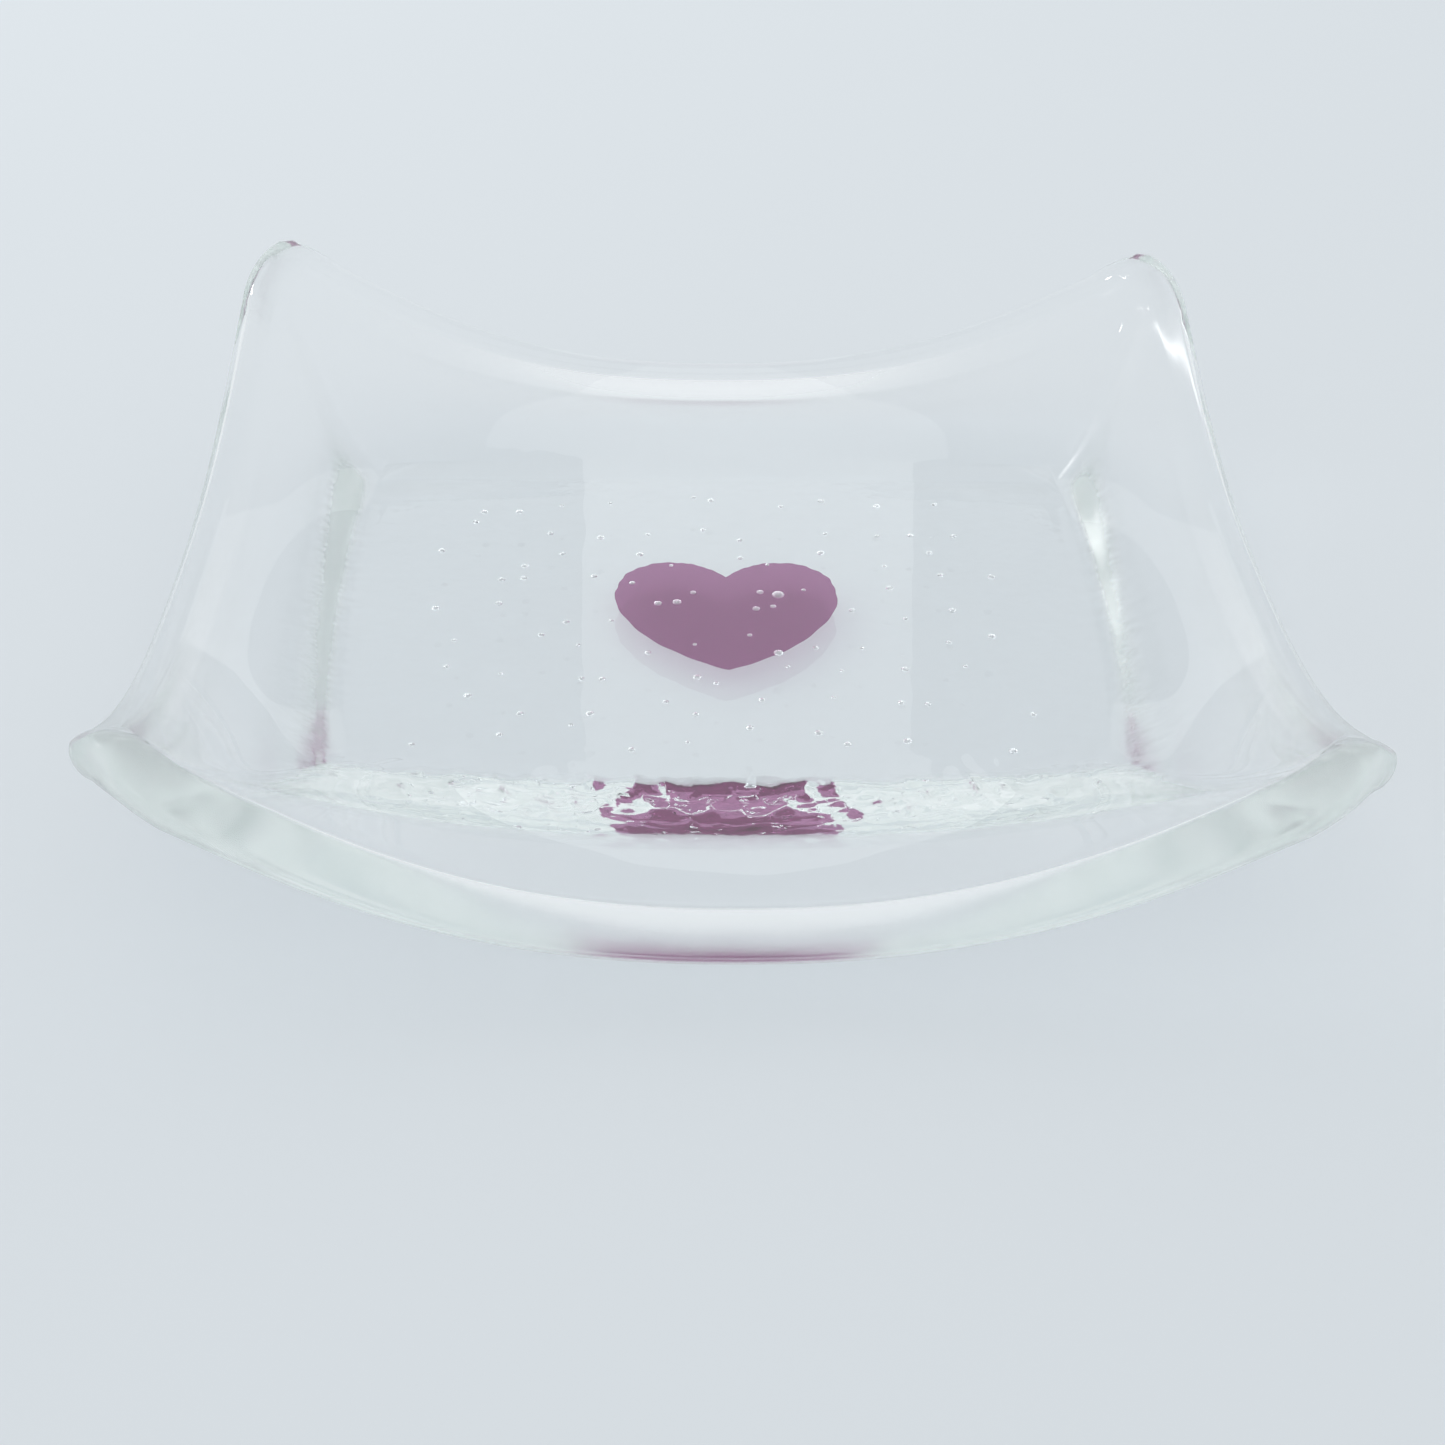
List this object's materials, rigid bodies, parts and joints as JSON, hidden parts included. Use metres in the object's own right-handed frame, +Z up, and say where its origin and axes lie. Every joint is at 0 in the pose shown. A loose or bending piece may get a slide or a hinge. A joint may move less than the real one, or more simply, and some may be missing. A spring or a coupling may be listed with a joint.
{
  "type": "fused glass trinket dish",
  "caption": "Small square slumped-glass trinket dish: flat base, low flared wall, raised corners and a plum glass heart sealed between clear layers.",
  "frame": {"origin": "on the table, under the middle of the dish's outline", "axes": "+Z up out of the dish, -Y the front, towards which the heart's tip points, +X to the right"},
  "size_m": [0.102, 0.1022, 0.023],
  "materials": {
    "clear_glass": "clear soda-lime glass with a faint green depth, fire-polished at the rim, finely matt where it touched the mould",
    "clear_glass_cap": "clear soda-lime glass, fire-polished",
    "plum_glass": "transparent plum-coloured glass"
  },
  "bodies": {
    "root": {"lower_clear_layer": "clear_glass", "upper_clear_layer": "clear_glass_cap", "heart_inlay": "plum_glass"}
  },
  "joints": []
}
